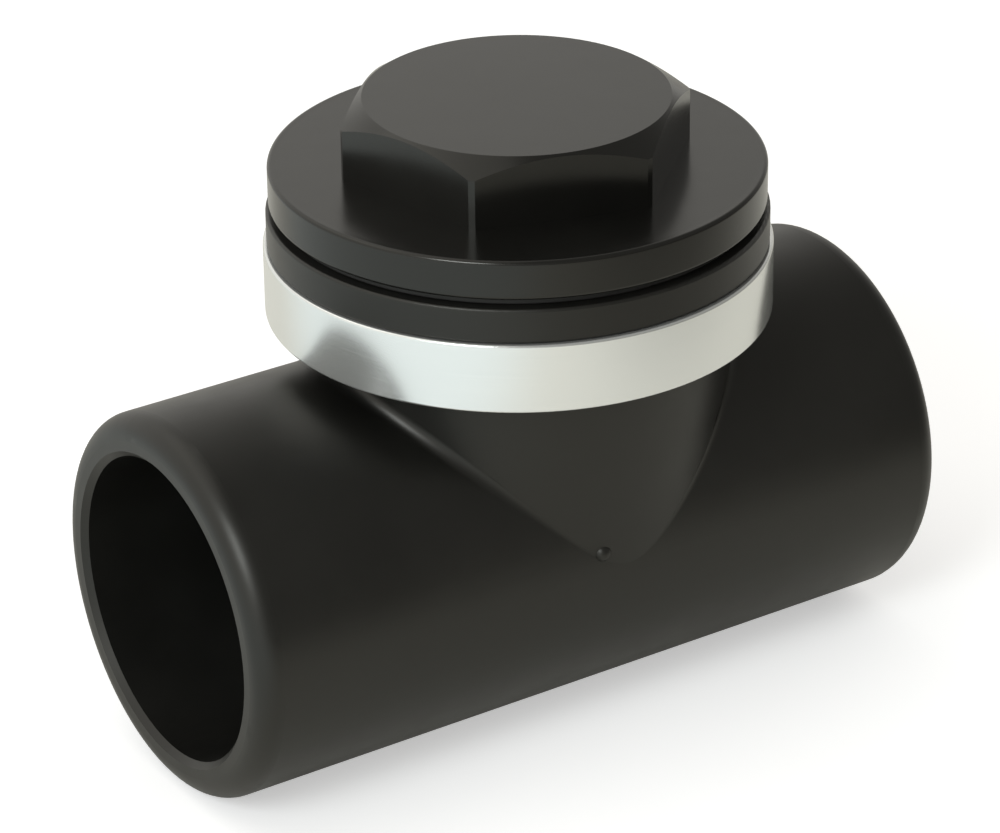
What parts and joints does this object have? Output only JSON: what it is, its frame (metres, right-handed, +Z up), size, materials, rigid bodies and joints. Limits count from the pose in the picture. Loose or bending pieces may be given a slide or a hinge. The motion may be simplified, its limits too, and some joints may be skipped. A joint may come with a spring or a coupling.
{
  "type": "backwater valve",
  "caption": "Socketed tee-shaped drain valve with a hinged flap inside that stops backflow, and a screwed hexagon plug on a steel-banded collar for access.",
  "frame": {"origin": "on the run's axis at the inlet socket's pipe stop, where the end of the incoming pipe lies", "axes": "+X along the run in the direction of flow, from inlet to outlet; +Z up along the branch to the access plug; +Y to the left seen along the flow"},
  "size_m": [0.131, 0.0816, 0.1036],
  "materials": {
    "body_plastic": "satin moulded black PVC-U",
    "plug_plastic": "satin moulded black PVC-U",
    "inner_plastic": "satin moulded dark grey PVC-U",
    "bush_plastic": "natural acetal",
    "seal_rubber": "matt black EPDM",
    "band_steel": "bright rolled stainless steel",
    "inner_steel": "plain stainless steel"
  },
  "bodies": {
    "valve_body": {"tee_body": "body_plastic", "reinforcing_ring": "band_steel", "seat_ring": "inner_plastic", "hinge_pin": "inner_steel", "pin_keeper_left": "inner_plastic", "pin_keeper_right": "inner_plastic"},
    "gasket": {"plug_gasket": "seal_rubber"},
    "plug": {"screw_plug": "plug_plastic"},
    "flap": {"hinge_arm": "inner_plastic", "hinge_bush_left": "bush_plastic", "hinge_bush_right": "bush_plastic", "flap_disc": "inner_plastic", "flap_seal": "seal_rubber", "clamp_plate": "inner_steel", "flap_bolt": "inner_steel", "bolt_seal": "seal_rubber", "flap_washer": "inner_steel", "flap_nut": "inner_steel"}
  },
  "joints": [
    {"name": "flap_swing", "type": "hinge", "parent": "valve_body", "child": "flap", "pos_m": [0.0196, 0, 0.027], "axis": [0, -1, 0], "range_deg": [0, 62]},
    {"name": "plug_lift", "type": "slide", "parent": "valve_body", "child": "gasket", "axis": [0, 0, 1], "range_m": [0, 0.0163]},
    {"name": "plug_turn", "type": "hinge", "parent": "gasket", "child": "plug", "pos_m": [0.0366, 0, 0.0545], "axis": [0, 0, 1], "range_deg": [0, 2520]}
  ],
  "couplings": [
    {"joint": "plug_lift", "follows": "plug_turn", "m_per_rad": 0.00036749}
  ]
}
